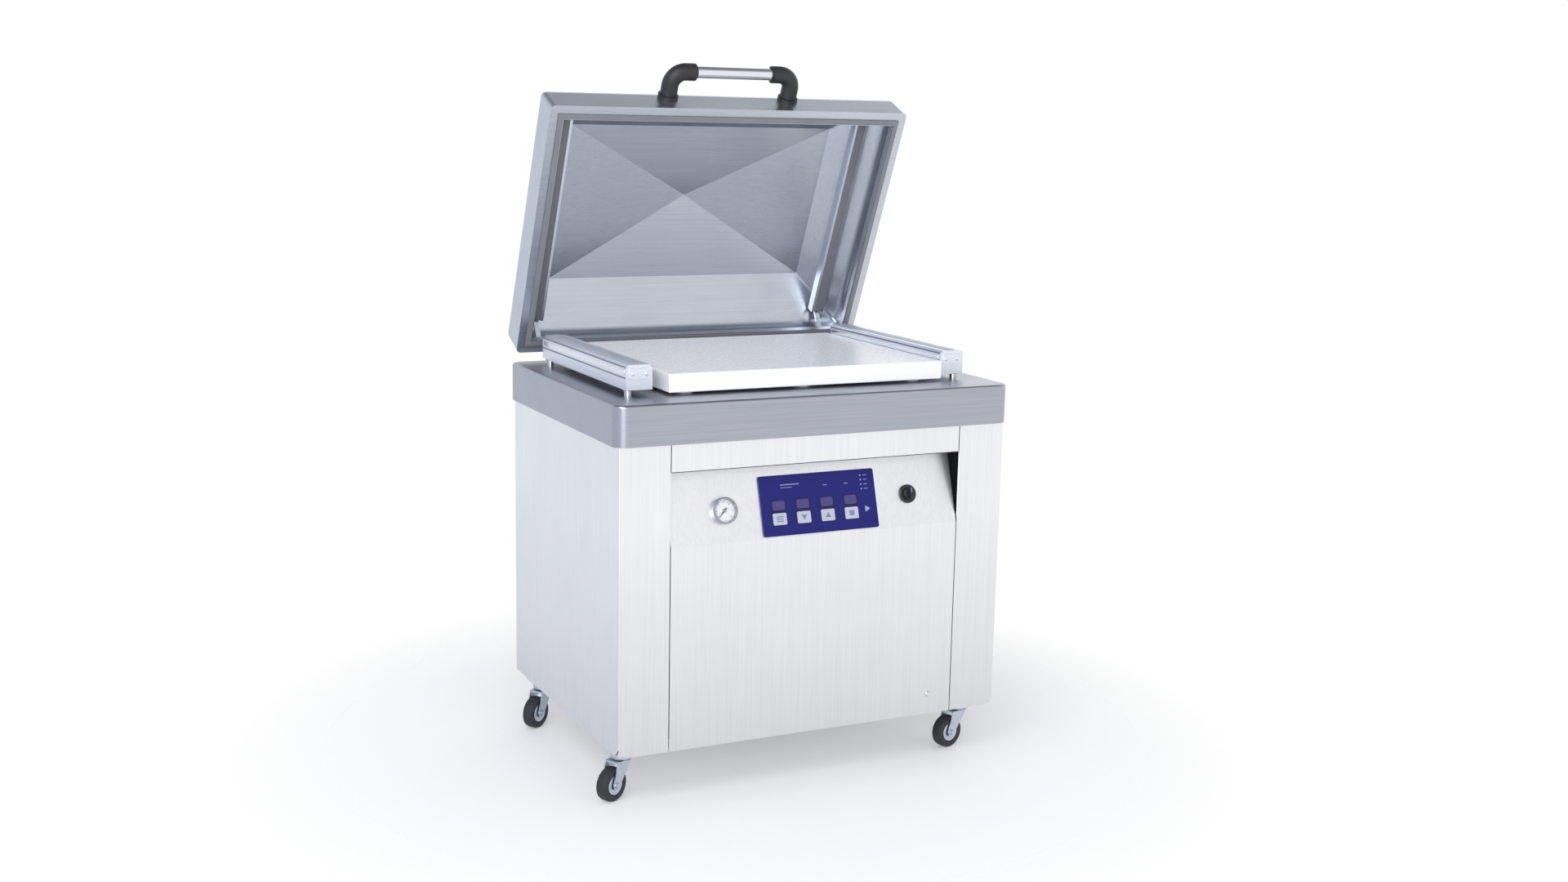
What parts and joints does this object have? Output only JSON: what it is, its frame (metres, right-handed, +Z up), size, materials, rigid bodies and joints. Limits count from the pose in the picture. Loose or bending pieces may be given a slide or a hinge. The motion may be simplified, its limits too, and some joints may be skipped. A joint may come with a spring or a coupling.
{
  "type": "vacuum packing machine",
  "caption": "Floor-standing chamber vacuum packing machine on casters, lid open, with sealing bars, a raised filler plate and a slanted control zone.",
  "frame": {"origin": "on the floor under the middle of the bounding box, lid open", "axes": "+Z up, -Y towards the user at the control side, +X to the user's right"},
  "size_m": [0.9866, 0.821, 1.5828],
  "materials": {
    "cabinet_steel": "satin",
    "deck_steel": "satin",
    "white_plate": "matt",
    "bar_aluminium": "satin",
    "bar_tape": "matt woven",
    "bright_steel": "polished",
    "cylinder_aluminium": "satin",
    "lid_steel": "brushed",
    "soft_rubber": "matt",
    "black_plastic": "matt",
    "hinge_steel": "satin",
    "black_paint": "gloss",
    "gauge_ring": "satin",
    "dial_white": "matt",
    "needle_black": "matt",
    "clear_glass": "clear",
    "panel_blue": "satin film",
    "key_light": "satin",
    "switch_black": "satin",
    "zinc_plate": "zinc plated",
    "caster_tyre": "matt",
    "pump_iron": "painted",
    "motor_paint": "painted",
    "hose_rubber": "matt",
    "core_iron": "varnished",
    "box_paint": "powder coat"
  },
  "bodies": {
    "machine": {"base_pan": "cabinet_steel", "cable_gland": "switch_black", "caster_plates": "zinc_plate", "chamber_deck": "deck_steel", "control_panel": "panel_blue", "electrical_box": "box_paint", "filler_plate": "white_plate", "front_header": "cabinet_steel", "front_panel": "cabinet_steel", "gas_spring_body_left": "black_paint", "gas_spring_body_right": "black_paint", "gauge_case": "gauge_ring", "gauge_dial": "dial_white", "gauge_glass": "clear_glass", "hinge_brackets": "hinge_steel", "hinge_pins": "bright_steel", "mains_switch_base": "switch_black", "panel_screws": "cabinet_steel", "pump_motor": "motor_paint", "rear_panel": "cabinet_steel", "seal_cylinders": "cylinder_aluminium", "side_panel_left": "cabinet_steel", "side_panel_right": "cabinet_steel", "transformer": "core_iron", "vacuum_hose": "hose_rubber", "vacuum_pump": "pump_iron"},
    "lid": {"lid_shell": "lid_steel", "lid_frame": "lid_steel", "lid_seal": "soft_rubber", "counter_bar_left": "bar_aluminium", "counter_bar_right": "bar_aluminium", "counter_pad_left": "soft_rubber", "counter_pad_right": "soft_rubber", "handle_bracket_left": "black_plastic", "handle_bracket_right": "black_plastic", "handle_tube": "bright_steel", "hinge_arm_left": "hinge_steel", "hinge_arm_right": "hinge_steel"},
    "gas_rod_left": {"gas_spring_rod_left": "bright_steel"},
    "seal_lift_left": {"seal_bar_left": "bar_aluminium", "seal_tape_left": "bar_tape", "seal_posts_left": "bright_steel"},
    "gas_rod_right": {"gas_spring_rod_right": "bright_steel"},
    "seal_lift_right": {"seal_bar_right": "bar_aluminium", "seal_tape_right": "bar_tape", "seal_posts_right": "bright_steel"},
    "set_key_cap": {"set_key": "key_light"},
    "down_key_cap": {"down_key": "key_light"},
    "up_key_cap": {"up_key": "key_light"},
    "stop_key_cap": {"stop_key": "key_light"},
    "needle": {"gauge_needle": "needle_black"},
    "knob": {"mains_switch_knob": "switch_black"},
    "swivel_front_left": {"caster_fork_front_left": "zinc_plate"},
    "wheel_front_left": {"caster_wheel_front_left": "caster_tyre"},
    "swivel_front_right": {"caster_fork_front_right": "zinc_plate"},
    "wheel_front_right": {"caster_wheel_front_right": "caster_tyre"},
    "swivel_rear_left": {"caster_fork_rear_left": "zinc_plate"},
    "wheel_rear_left": {"caster_wheel_rear_left": "caster_tyre"},
    "swivel_rear_right": {"caster_fork_rear_right": "zinc_plate"},
    "wheel_rear_right": {"caster_wheel_rear_right": "caster_tyre"}
  },
  "joints": [
    {"name": "lid_hinge", "type": "hinge", "parent": "machine", "child": "lid", "pos_m": [0, 0.3105, 0.868], "axis": [1, 0, 0], "range_deg": [0, 66], "stiffness_Nm_per_rad": 50, "springref_deg": -45.84},
    {"name": "gas_slide_left", "type": "slide", "parent": "machine", "child": "gas_rod_left", "axis": [0, 0, 1], "range_m": [0, 0.06]},
    {"name": "seal_slide_left", "type": "slide", "parent": "machine", "child": "seal_lift_left", "axis": [0, 0, 1], "range_m": [0, 0.008]},
    {"name": "gas_slide_right", "type": "slide", "parent": "machine", "child": "gas_rod_right", "axis": [0, 0, 1], "range_m": [0, 0.06]},
    {"name": "seal_slide_right", "type": "slide", "parent": "machine", "child": "seal_lift_right", "axis": [0, 0, 1], "range_m": [0, 0.008]},
    {"name": "set_key_press", "type": "slide", "parent": "machine", "child": "set_key_cap", "axis": [0, 0.9545, -0.2983], "range_m": [0, 0.0015], "stiffness_N_per_m": 800, "springref_m": -0.0003},
    {"name": "down_key_press", "type": "slide", "parent": "machine", "child": "down_key_cap", "axis": [0, 0.9545, -0.2983], "range_m": [0, 0.0015], "stiffness_N_per_m": 800, "springref_m": -0.0003},
    {"name": "up_key_press", "type": "slide", "parent": "machine", "child": "up_key_cap", "axis": [0, 0.9545, -0.2983], "range_m": [0, 0.0015], "stiffness_N_per_m": 800, "springref_m": -0.0003},
    {"name": "stop_key_press", "type": "slide", "parent": "machine", "child": "stop_key_cap", "axis": [0, 0.9545, -0.2983], "range_m": [0, 0.0015], "stiffness_N_per_m": 800, "springref_m": -0.0003},
    {"name": "gauge_needle_turn", "type": "hinge", "parent": "machine", "child": "needle", "pos_m": [-0.221, -0.38544, 0.63501], "axis": [0, 0.9545, -0.2983], "range_deg": [0, 270], "stiffness_Nm_per_rad": 0.0005, "springref_deg": -11.46},
    {"name": "mains_switch_turn", "type": "hinge", "parent": "machine", "child": "knob", "pos_m": [0.233, -0.39027, 0.63966], "axis": [0, 0.9545, -0.2983], "range_deg": [0, 90]},
    {"name": "swivel_turn_front_left", "type": "hinge", "parent": "machine", "child": "swivel_front_left", "pos_m": [-0.428, -0.3165, 0.09], "axis": [0, 0, 1], "continuous": true},
    {"name": "wheel_turn_front_left", "type": "hinge", "parent": "swivel_front_left", "child": "wheel_front_left", "pos_m": [-0.45599, -0.33201, 0.0375], "axis": [0.4848, -0.8746, 0], "continuous": true},
    {"name": "swivel_turn_front_right", "type": "hinge", "parent": "machine", "child": "swivel_front_right", "pos_m": [0.428, -0.3165, 0.09], "axis": [0, 0, 1], "continuous": true},
    {"name": "wheel_turn_front_right", "type": "hinge", "parent": "swivel_front_right", "child": "wheel_front_right", "pos_m": [0.39695, -0.32424, 0.0375], "axis": [0.2419, -0.9703, 0], "continuous": true},
    {"name": "swivel_turn_rear_left", "type": "hinge", "parent": "machine", "child": "swivel_rear_left", "pos_m": [-0.428, 0.2015, 0.09], "axis": [0, 0, 1], "continuous": true},
    {"name": "wheel_turn_rear_left", "type": "hinge", "parent": "swivel_rear_left", "child": "wheel_rear_left", "pos_m": [-0.45389, 0.18269, 0.0375], "axis": [0.5878, -0.809, 0], "continuous": true},
    {"name": "swivel_turn_rear_right", "type": "hinge", "parent": "machine", "child": "swivel_rear_right", "pos_m": [0.428, 0.2015, 0.09], "axis": [0, 0, 1], "continuous": true},
    {"name": "wheel_turn_rear_right", "type": "hinge", "parent": "swivel_rear_right", "child": "wheel_rear_right", "pos_m": [0.45599, 0.18599, 0.0375], "axis": [0.4848, 0.8746, 0], "continuous": true}
  ],
  "couplings": [
    {"joint": "gas_slide_left", "follows": "lid_hinge", "m_per_rad": 0.052},
    {"joint": "gas_slide_right", "follows": "lid_hinge", "m_per_rad": 0.052}
  ]
}
